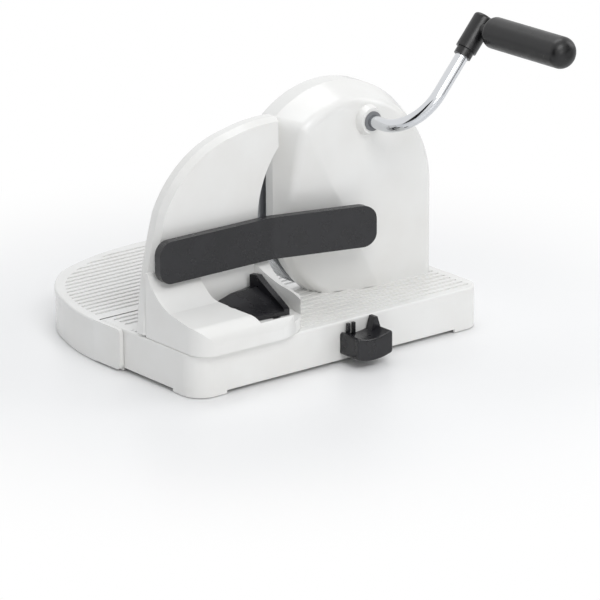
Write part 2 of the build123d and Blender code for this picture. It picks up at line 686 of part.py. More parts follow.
def plate_outline(inset):
    """Side view of the stop plate, drawn in by inset all round."""
    def moved(point, right, down):
        return (point[0] + right * inset, point[1] - down * inset)

    bottom_left = moved(plate_point(0, 0), 1, -1)
    left = moved(plate_point(0.04, 0.333), 1, 0.1)
    shoulder = moved(plate_point(0.12, 0.626), 0.9, 0.45)
    upper = moved(plate_point(0.37, 0.883), 0.5, 0.86)
    crown = moved(plate_point(0.632, 0.974), 0.2, 0.98)
    top = moved(plate_point(0.868, 1.004), 0, 1)
    tip = moved(plate_point(1, 1), -1, 1)
    tip_low = (tip[0], hollow_z(tip[0], inset))
    hollow = (blade_x - hollow_radius - inset, blade_z)
    bottom_right = (hollow_edge_x(bottom_left[1], inset), bottom_left[1])
    face = make_face(
        ThreePointArc(bottom_left, left, shoulder) + ThreePointArc(shoulder, upper, crown)
        + ThreePointArc(crown, top, tip) + Line(tip, tip_low)
        + ThreePointArc(tip_low, hollow, bottom_right) + Line(bottom_right, bottom_left))
    face = fillet(face.vertices().sort_by_distance(tip)[0], tip_round - inset / 2)
    return fillet([face.vertices().sort_by_distance(point)[0] for point in (shoulder, crown)],
                  shoulder_round - inset)


bevel_width = 6.0
bevel_depth = 4.0
stop_plate = prism_y(plate_outline(0), plate_back, plate_front)
back_face = stop_plate.faces().sort_by(Axis.Y)[0]
outer_edges = []
for edge in back_face.edges():
    middle = edge.center()
    off_axis = sqrt((middle.X - blade_x) ** 2 + (middle.Z - blade_z) ** 2)
    if middle.Z > plate_bottom + 1 and off_axis > hollow_radius + 8:
        outer_edges.append(edge)
stop_plate = chamfer(outer_edges, bevel_depth, bevel_width, reference=back_face)
pocket_inset = 6.5
pocket_floor = plate_back + 4.0
stop_plate -= prism_y(plate_outline(pocket_inset), pocket_floor, plate_front + 1)

block_front = face_y - foot_front
block_right = base_left + foot_right
block_bottom = base_height + foot_clear
blend_y = plate_back - 24.0
block_profile = make_face(
    Line((plate_back + 3.0, block_bottom), (plate_back + 3.0, foot_top + foot_blend))
    + Line((plate_back + 3.0, foot_top + foot_blend), (plate_back, foot_top + foot_blend))
    + ThreePointArc((plate_back, foot_top + foot_blend), (blend_y + 8.0, foot_top + 9.5),
                    (blend_y - 8.0, foot_top + 1.0))
    + Line((blend_y - 8.0, foot_top + 1.0), (block_front + 14.0, foot_top - 5.0))
    + ThreePointArc((block_front + 14.0, foot_top - 5.0), (block_front + 5.0, foot_top - 10.0),
                    (block_front, foot_top - 20.0))
    + Line((block_front, foot_top - 20.0), (block_front, block_bottom))
    + Line((block_front, block_bottom), (plate_back + 3.0, block_bottom)))
block_plan = make_face(
    Line((base_left + 1.0, plate_back + 3.0), (base_left + 1.0, block_front + 20.0))
    + ThreePointArc((base_left + 1.0, block_front + 20.0), (base_left + 7.0, block_front + 6.0),
                    (base_left + 21.0, block_front))
    + Line((base_left + 21.0, block_front), (block_right - 38.0, block_front))
    + ThreePointArc((block_right - 38.0, block_front), (block_right - 17.0, block_front + 7.5),
                    (block_right, block_front + 25.0))
    + Line((block_right, block_front + 25.0), (block_right, plate_back + 3.0))
    + Line((block_right, plate_back + 3.0), (base_left + 1.0, plate_back + 3.0)))
thumb_block = prism_x(block_profile, base_left, block_right + 1) & prism_z(block_plan, 0, big)

# Lever's plan, about its pivot
lever_back_left = (lever_x - 8.0, lever_y + 21.0)
lever_back_right = (lever_x + 46.0, lever_y + 33.0)
lever_outer = (lever_x + 54.0, lever_y + 8.0)
lever_front_right = (lever_x + 51.0, lever_y - 12.5)
lever_front_left = (lever_x + 4.0, lever_y - 7.0)
hub_radius = 6.5
sweep_radius = 62.0
pocket_back = lever_y + 37.0
pocket_front = block_front + 4.0
lever_pocket = make_face(Polyline([
    (lever_x - 12.0, pocket_back), (lever_x - 12.0, lever_y + 17.0), (lever_x - 4.0, lever_y - 9.5),
    (lever_x + 4.0, pocket_front), (lever_x + sweep_radius + 10, pocket_front),
    (lever_x + sweep_radius + 10, pocket_back)], close=True))
lever_pocket &= Pos(lever_x, lever_y) * Circle(sweep_radius)
lever_pocket += Pos(lever_x, lever_y) * Circle(hub_radius + 1.0)
thumb_block -= prism_z(lever_pocket, lever_floor, big)
follower_swing = lever_pin_radius * sin(thickness_max / 2 / lever_ratio + 0.05)
thumb_block -= box_between(lever_x + lever_pin_radius * cos(0.25) - follower_room - 1,
                           lever_x + lever_pin_radius + follower_room + 1,
                           lever_y - follower_swing - follower_room - 1,
                           lever_y + follower_swing + follower_room + 1, 0, lever_floor + 1)
thumb_block -= rod_z(lever_x, lever_y, pivot_diameter / 2 + press_fit, lever_floor - 8, lever_floor + 1)
stop_plate += thumb_block

facing_screw_places = [plate_point(0.204, 0.635), plate_point(0.724, 0.868),
                       plate_point(0.21, 0.144), plate_point(0.737, 0.15)]
for x, z in facing_screw_places:
    stop_plate += rod_y(x, z, screw_boss_radius, plate_back + 3, plate_front)
    stop_plate -= rod_y(x, z, screw_radius, plate_front - 9, plate_front + 1)
bar_y = face_y - bar_back - bar_thickness / 2
bar_z = bar_bottom + bar_height / 2
bar_posts = [(base_left + 30.0, bar_z), (base_left + 106.0, bar_z)]
for x, z in bar_posts:
    stop_plate += rod_y(x, z, 6.5, face_y - bar_back, pocket_floor)
    stop_plate -= rod_y(x, z, screw_radius, face_y - bar_back - 1, pocket_floor + 1)
for x in rail_x:
    stop_plate -= rod_z(x - leg_offset, leg_y, screw_radius, block_bottom - 1, lever_floor - 2)
save(stop_plate, "stop_plate")

facing_inset = 3.0
facing_skin = 1.6
rib_inset = facing_inset + facing_skin + 1.4
crest_inner = face_y - facing_rib_height
sheet_back = crest_inner - facing_sheet
plate_facing = prism_y(plate_outline(facing_inset), plate_front, crest_inner)
plate_facing -= prism_y(plate_outline(facing_inset + facing_skin), plate_front - 1, sheet_back)
ribs = []
first_rib = plate_bottom + facing_inset + 6.0
for number in range(facing_rib_count + 1):
    z = first_rib + number * facing_rib_pitch
    ribs.append(Pos(0, z) * Rectangle(big, facing_rib_pitch * 0.45))
rib_faces = Sketch() + ribs
rib_faces &= plate_outline(rib_inset)
for x, z in facing_screw_places:
    rib_faces -= Pos(x, z) * Circle(screw_head_radius + 1.2)
plate_facing += prism_y(rib_faces, crest_inner - 0.2, face_y)
for x, z in facing_screw_places:
    plate_facing += rod_y(x, z, screw_boss_radius, plate_front, sheet_back)
    plate_facing -= rod_y(x, z, screw_radius, plate_front - 1, face_y)
save(plate_facing, "plate_facing")

screws = []
for x, z in facing_screw_places:
    screws.append(rod_y(x, z, screw_head_radius, crest_inner, crest_inner + 1.3)
                  + rod_y(x, z, screw_radius, plate_front - 8, crest_inner))
save(group(screws), "facing_screws")

# ---------------------------------------------------------------- slice deflector
bar_x0 = base_left + bar_left
bar_x2 = base_left + bar_end
bar_drop = (bar_x2 - bar_x1) * tan(bar_slope)
lean = bar_thickness / 2 * tan(bar_slope / 2)
half_bar = bar_thickness / 2
bar_plan = make_face(Polyline([
    (bar_x0, bar_y + half_bar), (bar_x1 - lean, bar_y + half_bar),
    (bar_x2, bar_y + half_bar - bar_drop), (bar_x2, bar_y - half_bar - bar_drop),
    (bar_x1 - lean, bar_y - half_bar), (bar_x0, bar_y - half_bar)], close=True))
bend_corners = [bar_plan.vertices().sort_by_distance((bar_x1, bar_y + side * half_bar))[0]
                for side in (-1, 1)]
bar_plan = fillet(bend_corners, 14.0)
slice_deflector = prism_z(bar_plan, bar_bottom, bar_bottom + bar_height)
bar_side = Pos((bar_x0 + bar_x2) / 2, bar_z) * RectangleRounded(bar_x2 - bar_x0, bar_height, 13.0)
slice_deflector &= prism_y(bar_side, bar_y - big, bar_y + big)
for x, z in bar_posts:
    slice_deflector -= rod_y(x, z, screw_radius, bar_y - 1, bar_y + 20)
save(slice_deflector, "slice_deflector")

screws = []
for x, z in bar_posts:
    screws.append(rod_y(x, z, screw_head_radius, pocket_floor, pocket_floor + 1.6)
                  + rod_y(x, z, screw_radius, bar_y - 0.5, pocket_floor + 0.1))
save(group(screws), "deflector_screws")

# ---------------------------------------------------------------- shoes on the rails
shoes = []
screws = []
shoe_half = 9.0
shoe_bottom = rail_z - 6.0
for x in rail_x:
    leg_x = x - leg_offset
    shoe = box_between(leg_x - shoe_leg / 2, x + 6, leg_y - shoe_half, leg_y + shoe_half,
                       shoe_bottom, rail_z + 6)
    shoe += box_between(leg_x - shoe_leg / 2, leg_x + shoe_leg / 2, leg_y - shoe_leg / 2,
                        leg_y + shoe_leg / 2, rail_z, block_bottom)
    shoe -= rod_y(x, rail_z, rail_radius + running_fit, leg_y - 20, leg_y + 20)
    shoe -= rod_z(leg_x, leg_y, screw_radius, 0, 60)
    shoes.append(shoe)
    screws.append(rod_z(leg_x, leg_y, screw_head_radius, shoe_bottom - 1.8, shoe_bottom)
                  + rod_z(leg_x, leg_y, screw_radius, shoe_bottom - 0.1, lever_floor - 3))
save(group(shoes), "carriage_shoes")
save(group(screws), "shoe_screws")

# ---------------------------------------------------------------- thickness lever
lever_lift = 0.4
ramp_low = lever_floor + 4.0
ramp_high = lever_floor + lever_rise
lever_plan = make_face(
    Line(lever_back_left, lever_back_right)
    + ThreePointArc(lever_back_right, lever_outer, lever_front_right)
    + Line(lever_front_right, lever_front_left)
    + Line(lever_front_left, lever_back_left))
ramp_back = lever_y + 26.0
ramp_front = lever_y - 13.0


def lever_ramp(front_z, back_z):
    """Hollow thumb surface that climbs from front_z to back_z, seen along X."""
    low = lever_floor + lever_lift
    front_y = lever_y - 20.0
    back_y = lever_y + 40.0
    sag = ((ramp_back + ramp_front) / 2, front_z + (back_z - front_z) * 0.3)
    return make_face(
        Line((front_y, low), (back_y, low)) + Line((back_y, low), (back_y, back_z))
        + Line((back_y, back_z), (ramp_back, back_z))
        + ThreePointArc((ramp_back, back_z), sag, (ramp_front, front_z))
        + Line((ramp_front, front_z), (front_y, front_z)) + Line((front_y, front_z), (front_y, low)))


lever_rim = lever_plan - (Pos(-rim_width, 0) * lever_plan)
thickness_lever = (prism_x(lever_ramp(ramp_low, ramp_high), lever_x - big, lever_x + big)
                   & prism_z(lever_plan, 0, big))
thickness_lever += (prism_x(lever_ramp(ramp_low + 2.0, lever_floor + rim_rise), lever_x, lever_x + big)
                    & prism_z(lever_rim, 0, big))
thickness_lever += rod_z(lever_x, lever_y, hub_radius, lever_floor + lever_lift, lever_floor + 8)
pivot_top = lever_floor + 7.0
thickness_lever -= rod_z(lever_x, lever_y, pivot_diameter / 2 + running_fit, lever_floor, pivot_top + 0.5)
thickness_lever -= rod_z(follower_x, follower_y, follower_diameter / 2 + press_fit,
                         lever_floor, lever_floor + 4.5)
save(thickness_lever, "thickness_lever")
save(rod_z(lever_x, lever_y, pivot_diameter / 2, lever_floor - 8, pivot_top), "lever_pivot")
save(rod_z(follower_x, follower_y, follower_diameter / 2, base_height - 6, lever_floor + 4.5),
     "follower_pin")

# ---------------------------------------------------------------- folding tray
tray_y0 = strip_back + hinge_gap
tray_y1 = blade_y + tray_depth
tray_half = base_length / 2 + tray_overhang
tray_bend_y = blade_y + 108.0
tray_corner_y = blade_y + 176.0


def tray_plan(inset, back=0.0):
    """Plan of the tray: curved sides, wide round corners and a bowed outer edge."""
    half = tray_half - inset
    end = tray_y1 - inset
    start, bow, bend, turn, corner = [
        (half, tray_y0 + back), (half - 4.0, blade_y + 75.0), (half - 13.5, tray_bend_y),
        (half - 30.0, blade_y + 143.0 - inset * 0.5), (half - 62.0, tray_corner_y - inset)]

    def flip(point):
        return (-point[0], point[1])

    plan = make_face(
        Line(flip(start), start) + ThreePointArc(start, bow, bend) + ThreePointArc(bend, turn, corner)
        + ThreePointArc(corner, (0, end), flip(corner))
        + ThreePointArc(flip(corner), flip(turn), flip(bend))
        + ThreePointArc(flip(bend), flip(bow), flip(start)))
    kinks = [plan.vertices().sort_by_distance(point)[0]
             for point in (bend, corner, flip(bend), flip(corner))]
    return Pos(base_middle, 0) * fillet(kinks, 30.0)


crease_z = 33.0
crease_step = 0.8
swing_radius = sqrt((strip_back - hinge_y) ** 2 + (base_height - hinge_z) ** 2) + 0.4
tray = prism_z(tray_plan(0), crease_z, base_height)
top_edges = tray.faces().sort_by(Axis.Z)[-1].edges()
tray = fillet([edge for edge in top_edges if edge.center().Y > tray_y0 + 1], rim_radius)
tray += prism_z(tray_plan(crease_step), shell_gap, crease_z)
tray -= prism_z(tray_plan(crease_step + wall, -20), shell_gap - 1, base_height - top_wall)
groove_area = prism_z(tray_plan(rib_margin), 0, 100)
for cut in table_grooves(base_left - 20, base_right + 20, tray_y0 + rib_margin + 1.0,
                         tray_y1 - rib_margin - 3.0, base_height):
    tray -= cut & groove_area
tray -= rod_x(hinge_y, hinge_z, swing_radius, base_left - ear_gap, base_right + ear_gap)
ear_front = blade_y + 2.0
ear_low = 2.0
ear_radius = 5.0
ear_profile = Pos((ear_front + tray_y0 + 3) / 2, (ear_low + base_height) / 2) * Rectangle(
    tray_y0 + 3 - ear_front, base_height - ear_low)
ear_profile = fillet(ear_profile.vertices().sort_by(Axis.X)[0:2], ear_radius)
ear_thickness = tray_overhang - ear_gap
for ear_x in (base_middle - tray_half, base_middle + tray_half - ear_thickness):
    tray += prism_x(ear_profile, ear_x, ear_x + ear_thickness)
pin_radius = hinge_pin_diameter / 2
tray -= rod_x(hinge_y, hinge_z, pin_radius + press_fit, base_middle - tray_half + 1.2, base_left)
tray -= rod_x(hinge_y, hinge_z, pin_radius + press_fit, base_right, base_middle + tray_half - 1.2)
tray_post_places = [(base_middle - 105.0, blade_y + 150.0), (base_middle + 105.0, blade_y + 150.0)]
for x, y in tray_post_places:
    tray += rod_z(x, y, foot_pad_radius, cover_plate_z, base_height - top_wall + 0.5)
    tray -= rod_z(x, y, foot_pad_stem, 0, cover_plate_z + 3)
save(tray, "tray")

pads = []
for x, y in tray_post_places:
    pads.append(rod_z(x, y, foot_pad_radius, 0, cover_plate_z)
                + rod_z(x, y, foot_pad_stem, cover_plate_z, cover_plate_z + 3))
save(group(pads), "tray_foot_pads")
pins = [rod_x(hinge_y, hinge_z, pin_radius, base_middle - tray_half + 1.2, base_left + wall + 7),
        rod_x(hinge_y, hinge_z, pin_radius, base_right - wall - 7, base_middle + tray_half - 1.2)]
save(group(pins), "hinge_pins")
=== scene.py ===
from math import atan2, cos, pi, radians, sin, sqrt

import bmesh
import bpy
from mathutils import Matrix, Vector


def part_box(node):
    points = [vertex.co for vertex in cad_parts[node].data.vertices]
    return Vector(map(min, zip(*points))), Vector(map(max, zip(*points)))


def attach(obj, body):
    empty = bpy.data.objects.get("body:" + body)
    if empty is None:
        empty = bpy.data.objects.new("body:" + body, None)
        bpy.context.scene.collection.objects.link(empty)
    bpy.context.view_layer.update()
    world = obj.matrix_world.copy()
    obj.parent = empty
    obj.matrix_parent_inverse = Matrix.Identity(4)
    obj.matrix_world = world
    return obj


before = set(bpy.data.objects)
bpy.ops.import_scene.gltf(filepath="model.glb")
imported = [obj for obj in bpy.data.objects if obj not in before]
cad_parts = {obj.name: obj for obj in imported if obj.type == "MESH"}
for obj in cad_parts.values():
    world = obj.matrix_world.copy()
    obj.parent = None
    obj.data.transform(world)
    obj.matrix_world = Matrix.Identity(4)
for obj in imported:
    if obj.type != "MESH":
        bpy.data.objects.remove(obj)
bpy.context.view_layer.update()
mm = 0.001


# Shell mouldings: base, bottom cover, gear housing, stop plate, tray and hub cap.
# Glossy white ABS, injection moulded in polished tools. It gives soft, clear highlights that wander
# a little where the walls shrank, and a faint warm tone in the thick parts.
def linear(text):
    """Linear RGBA of an sRGB hex colour."""
    parts = [int(text[start:start + 2], 16) / 255 for start in (1, 3, 5)]
    return tuple(c / 12.92 if c <= 0.04045 else ((c + 0.055) / 1.055) ** 2.4 for c in parts) + (1.0,)


def add(tree, kind, inputs=None, **settings):
    """A new node with its settings. Each input is a value or another node's output socket."""
    node = tree.nodes.new(kind)
    for key, value in settings.items():
        setattr(node, key, value)
    for key, value in (inputs or {}).items():
        if isinstance(value, bpy.types.NodeSocket):
            tree.links.new(value, node.inputs[key])
        else:
            node.inputs[key].default_value = value
    return node


def new_material(name):
    """A material with only its shader and output, and the object's own coordinates."""
    material = bpy.data.materials.new(name)
    material.use_nodes = True
    tree = material.node_tree
    tree.nodes.clear()
    shader = add(tree, "ShaderNodeBsdfPrincipled")
    add(tree, "ShaderNodeOutputMaterial", {"Surface": shader.outputs["BSDF"]})
    place = add(tree, "ShaderNodeTexCoord").outputs["Object"]
    return material, tree, shader, place


def dress(names, material):
    """Gives the named pieces of the frame one material."""
    for name in names:
        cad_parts[name].data.materials.clear()
        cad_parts[name].data.materials.append(material)


material, tree, shader, place = new_material("white_abs_gloss_moulded")
shader.inputs["IOR"].default_value = 1.53
# Clouds in the thick parts, 60 mm across
cloud = add(tree, "ShaderNodeTexNoise", {"Vector": place, "Scale": 1 / 0.060, "Detail": 3.0})
tone = add(tree, "ShaderNodeValToRGB", {"Fac": cloud.outputs["Fac"]})
tone.color_ramp.elements[0].position = 0.3
tone.color_ramp.elements[0].color = linear("#e9e8e5")
tone.color_ramp.elements[1].position = 0.7
tone.color_ramp.elements[1].color = linear("#efefed")
# Sink and flow marks, 14 mm across
flow = add(tree, "ShaderNodeTexNoise", {"Vector": place, "Scale": 1 / 0.014, "Detail": 4.0})
polish = add(tree, "ShaderNodeMapRange", {"Value": flow.outputs["Fac"], "From Min": 0.3, "From Max": 0.7,
                                          "To Min": 0.16, "To Max": 0.24})
peel = add(tree, "ShaderNodeBump", {"Height": flow.outputs["Fac"], "Distance": 0.00008, "Strength": 0.25})
tree.links.new(tone.outputs["Color"], shader.inputs["Base Color"])
tree.links.new(polish.outputs["Result"], shader.inputs["Roughness"])
tree.links.new(peel.outputs["Normal"], shader.inputs["Normal"])
dress(["base_shell", "base_bottom", "housing_frame", "housing_cover", "stop_plate", "tray", "hub_cap"],
      material)

# Slice deflector, thickness lever and suction knob: black ABS, moulded with a high polish. The
# deflector is screwed to the stop plate, and the lever is pinned in its block.
# Dark with long soft highlights and a trace of rubbed, duller skin.
material, tree, shader, place = new_material("black_abs_polished_moulded")
shader.inputs["IOR"].default_value = 1.53
# Rubbed patches, 22 mm across
rub = add(tree, "ShaderNodeTexNoise", {"Vector": place, "Scale": 1 / 0.022, "Detail": 6.0, "Roughness": 0.6})
tone = add(tree, "ShaderNodeValToRGB", {"Fac": rub.outputs["Fac"]})
tone.color_ramp.elements[0].position = 0.3
tone.color_ramp.elements[0].color = linear("#131316")
tone.color_ramp.elements[1].position = 0.7
tone.color_ramp.elements[1].color = linear("#1b1b1f")
polish = add(tree, "ShaderNodeMapRange", {"Value": rub.outputs["Fac"], "From Min": 0.3, "From Max": 0.7,
                                          "To Min": 0.22, "To Max": 0.34})
# Spark-eroded tool grain of 0.6 mm, drawn at 1.5 mm so that it shows
grain = add(tree, "ShaderNodeTexNoise", {"Vector": place, "Scale": 1 / 0.0015, "Detail": 2.0})
skin = add(tree, "ShaderNodeBump", {"Height": grain.outputs["Fac"], "Distance": 0.00003, "Strength": 0.4})
tree.links.new(tone.outputs["Color"], shader.inputs["Base Color"])
tree.links.new(polish.outputs["Result"], shader.inputs["Roughness"])
tree.links.new(skin.outputs["Normal"], shader.inputs["Normal"])
dress(["slice_deflector", "thickness_lever", "suction_knob"], material)

# Grip and its swivel sleeve: black polypropylene, moulded, turning on a steel pin.
# A deeper black than the ABS, with a waxy sheen and fine scuffs round the palm.
material, tree, shader, place = new_material("black_polypropylene_moulded")
shader.inputs["IOR"].default_value = 1.49
# Scuffs from the palm, 9 mm across
scuff = add(tree, "ShaderNodeTexNoise",
            {"Vector": place, "Scale": 1 / 0.009, "Detail": 7.0, "Roughness": 0.65})
tone = add(tree, "ShaderNodeValToRGB", {"Fac": scuff.outputs["Fac"]})
tone.color_ramp.elements[0].position = 0.35
tone.color_ramp.elements[0].color = linear("#0f0f10")
tone.color_ramp.elements[1].position = 0.75
tone.color_ramp.elements[1].color = linear("#171719")
sheen = add(tree, "ShaderNodeMapRange", {"Value": scuff.outputs["Fac"], "From Min": 0.3, "From Max": 0.7,
                                         "To Min": 0.26, "To Max": 0.40})
dimple = add(tree, "ShaderNodeBump", {"Height": scuff.outputs["Fac"], "Distance": 0.00006, "Strength": 0.3})
tree.links.new(tone.outputs["Color"], shader.inputs["Base Color"])
tree.links.new(sheen.outputs["Result"], shader.inputs["Roughness"])
tree.links.new(dimple.outputs["Normal"], shader.inputs["Normal"])
dress(["grip", "crank_sleeve"], material)

# Crank rod: bent steel bar, polished and chrome plated, clipped in its bush.
# Mirror bright, with dark and light bands along the bend and a faint haze of wiping marks.
material, tree, shader, place = new_material("chrome_plated_steel_polished")
shader.inputs["Metallic"].default_value = 1.0
shader.inputs["Base Color"].default_value = linear("#d5d7da")
# Wiping marks, 3 mm
haze = add(tree, "ShaderNodeTexNoise", {"Vector": place, "Scale": 1 / 0.003, "Detail": 8.0, "Roughness": 0.7})
wipe = add(tree, "ShaderNodeMapRange", {"Value": haze.outputs["Fac"], "From Min": 0.35, "From Max": 0.75,
                                        "To Min": 0.05, "To Max": 0.14})
tree.links.new(wipe.outputs["Result"], shader.inputs["Roughness"])
dress(["crank_rod"], material)

# Stop plate's facing: stainless steel sheet with pressed beads, screwed over the plate.
# Rolled finish: a grey metal with a soft grain along the beads.
material, tree, shader, place = new_material("stainless_sheet_pressed")
shader.inputs["Metallic"].default_value = 1.0
shader.inputs["Base Color"].default_value = linear("#bfc1c5")
# Rolling lines of 0.3 mm, drawn at 1 mm, and 40 mm long
rolled = add(tree, "ShaderNodeMapping", {"Vector": place, "Scale": (1 / 0.040, 1 / 0.001, 1 / 0.001)})
lines = add(tree, "ShaderNodeTexNoise", {"Vector": rolled.outputs["Vector"], "Scale": 1.0, "Detail": 4.0})
grain = add(tree, "ShaderNodeMapRange", {"Value": lines.outputs["Fac"], "From Min": 0.3, "From Max": 0.7,
                                         "To Min": 0.24, "To Max": 0.40})
scratch = add(tree, "ShaderNodeBump", {"Height": lines.outputs["Fac"], "Distance": 0.00004, "Strength": 0.35})
tree.links.new(grain.outputs["Result"], shader.inputs["Roughness"])
tree.links.new(scratch.outputs["Normal"], shader.inputs["Normal"])
dress(["plate_facing"], material)

# Spikes along the facing's outer edge: small cones punched up from the sheet that hold the bread.
# They follow the plate's outer curve and are part of the same sheet.
spike_count = 13
spike_sides = 20
spike_inset = 7.5 * mm
spike_height = 1.7 * mm
spike_profile = [(2.1 * mm, 0.0), (1.25 * mm, 0.25 * mm), (0.75 * mm, 0.8 * mm), (0.3 * mm, spike_height)]
first_angle = 172          # degrees up from +X
swept_angle = 78
facing_low, facing_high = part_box("plate_facing")
sheet_y = facing_high.y - 1.8 * mm
arc_x = facing_low.x + 112 * mm
arc_z = facing_low.z + 42 * mm


def turned(mesh, profile, centre, sides, closed):
    """Adds a shape turned about +Y at centre from (radius, height) points; closed caps its last end."""
    rings = []
    for radius, height in profile:
        rings.append([mesh.verts.new((centre[0] + radius * cos(2 * pi * step / sides), centre[1] + height,
                                      centre[2] + radius * sin(2 * pi * step / sides)))
                      for step in range(sides)])
    for lower, upper in zip(rings, rings[1:]):
        for step in range(sides):
            after = (step + 1) % sides
            mesh.faces.new((lower[step], upper[step], upper[after], lower[after]))
    if closed:
        mesh.faces.new(rings[-1])


def mesh_object(name, mesh, material, body):
    """Links a finished bmesh as an object that rides on a body."""
    bmesh.ops.recalc_face_normals(mesh, faces=mesh.faces)
    data = bpy.data.meshes.new(name)
    mesh.to_mesh(data)
    mesh.free()
    data.shade_smooth()
    data.materials.append(material)
    thing = bpy.data.objects.new(name, data)
    bpy.context.scene.collection.objects.link(thing)
    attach(thing, body)
    return thing


def edge_distance(node, middle_x, middle_z, angle):
    """How far a node's outline is from a middle point, in a direction in the XZ plane."""
    window = radians(6)
    reach = 0.0
    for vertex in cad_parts[node].data.vertices:
        right, up = vertex.co.x - middle_x, vertex.co.z - middle_z
        if abs(atan2(up, right) - angle) < window:
            reach = max(reach, sqrt(right * right + up * up))
    return reach


spikes = bmesh.new()
for number in range(spike_count):
    angle = radians(first_angle - swept_angle * number / (spike_count - 1))
    reach = edge_distance("plate_facing", arc_x, arc_z, angle) - spike_inset
    turned(spikes, spike_profile, (arc_x + reach * cos(angle), sheet_y, arc_z + reach * sin(angle)),
           spike_sides, closed=True)
mesh_object("facing_spikes", spikes, material, "carriage")

# Round blade: stainless steel disc, ground in circles and hollow ground at the edge, on a carrier.
# Circular grinding gives fine rings and a fan of light; the edge land is brighter.
material, tree, shader, place = new_material("stainless_blade_ground")
shader.inputs["Metallic"].default_value = 1.0
blade_low, blade_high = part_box("blade")
blade_centre = (blade_low + blade_high) / 2
blade_radius = (blade_high.x - blade_low.x) / 2
land_radius = blade_radius - 13 * mm
offset = add(tree, "ShaderNodeVectorMath", {0: place, 1: (blade_centre.x, 0.0, blade_centre.z)},
             operation="SUBTRACT")
flat = add(tree, "ShaderNodeVectorMath", {0: offset.outputs["Vector"], 1: (1.0, 0.0, 1.0)},
           operation="MULTIPLY")
radius = add(tree, "ShaderNodeVectorMath", {0: flat.outputs["Vector"]}, operation="LENGTH")
# Grinding rings of 0.2 mm, drawn at 0.8 mm
rings = add(tree, "ShaderNodeTexNoise", {"W": radius.outputs["Value"], "Scale": 1 / 0.0008, "Detail": 3.0},
            noise_dimensions="1D")
grind = add(tree, "ShaderNodeBump", {"Height": rings.outputs["Fac"], "Distance": 0.00003, "Strength": 0.5})
land = add(tree, "ShaderNodeMath", {0: radius.outputs["Value"], 1: land_radius}, operation="GREATER_THAN")
tone = add(tree, "ShaderNodeMix", {"Factor": land.outputs["Value"], "A": linear("#bcbec3"),
                                   "B": linear("#d2d4d8")}, data_type="RGBA")
dull = add(tree, "ShaderNodeMapRange", {"Value": rings.outputs["Fac"], "From Min": 0.3, "From Max": 0.7,
                                        "To Min": 0.22, "To Max": 0.36})
tree.links.new(tone.outputs["Result"], shader.inputs["Base Color"])
tree.links.new(dull.outputs["Result"], shader.inputs["Roughness"])
tree.links.new(grind.outputs["Normal"], shader.inputs["Normal"])
dress(["blade"], material)

# Step of the blade's ground land: a thin ring on the bread side, where the ground edge begins.
# It is part of the disc and turns with it.
step_sides = 180
step_height = 0.16 * mm
step_profile = [(land_radius - 1.0 * mm, 0.0), (land_radius - 0.6 * mm, step_height),
                (land_radius, step_height), (land_radius + 0.4 * mm, 0.0)]
step_ring = bmesh.new()
turned(step_ring, step_profile, (blade_centre.x, blade_high.y, blade_centre.z), step_sides, closed=False)
mesh_object("blade_land_ring", step_ring, material, "blade")

# Screws, pins, rails, clip and shafts: mild steel, zinc plated or turned bright.
# A cool grey metal with cloudy, slightly uneven plating.
material, tree, shader, place = new_material("zinc_plated_steel")
shader.inputs["Metallic"].default_value = 1.0
# Plating clouds, 2 mm across
plating = add(tree, "ShaderNodeTexNoise", {"Vector": place, "Scale": 1 / 0.002, "Detail": 4.0})
tone = add(tree, "ShaderNodeValToRGB", {"Fac": plating.outputs["Fac"]})
tone.color_ramp.elements[0].position = 0.3
tone.color_ramp.elements[0].color = linear("#a9abae")
tone.color_ramp.elements[1].position = 0.7
tone.color_ramp.elements[1].color = linear("#bfc2c4")
cloudy = add(tree, "ShaderNodeMapRange", {"Value": plating.outputs["Fac"], "From Min": 0.3, "From Max": 0.7,
                                          "To Min": 0.24, "To Max": 0.42})
tree.links.new(tone.outputs["Color"], shader.inputs["Base Color"])
tree.links.new(cloudy.outputs["Result"], shader.inputs["Roughness"])
dress(["bottom_screws", "carriage_rails", "case_screws", "housing_screws", "blade_axle", "idler_pin",
       "facing_screws", "deflector_screws", "shoe_screws", "lever_pivot", "follower_pin", "hinge_pins",
       "blade_screws", "crank_clip", "grip_axle", "suction_camshaft"], material)

# Gears of the crank, the idler and the blade: natural acetal, moulded. They run in the housing.
# Off-white and a little translucent, with a soapy sheen and milky patches 6 mm across.
material, tree, shader, place = new_material("natural_acetal_moulded")
shader.inputs["IOR"].default_value = 1.48
shader.inputs["Subsurface Weight"].default_value = 0.15
shader.inputs["Subsurface Radius"].default_value = (0.002, 0.002, 0.0015)
milk = add(tree, "ShaderNodeTexNoise", {"Vector": place, "Scale": 1 / 0.006, "Detail": 3.0})
tone = add(tree, "ShaderNodeValToRGB", {"Fac": milk.outputs["Fac"]})
tone.color_ramp.elements[0].color = linear("#dedbd0")
tone.color_ramp.elements[1].color = linear("#e9e7df")
soap = add(tree, "ShaderNodeMapRange", {"Value": milk.outputs["Fac"], "To Min": 0.32, "To Max": 0.48})
tree.links.new(tone.outputs["Color"], shader.inputs["Base Color"])
tree.links.new(soap.outputs["Result"], shader.inputs["Roughness"])
dress(["crank_gear", "idler_gear", "blade_gear"], material)

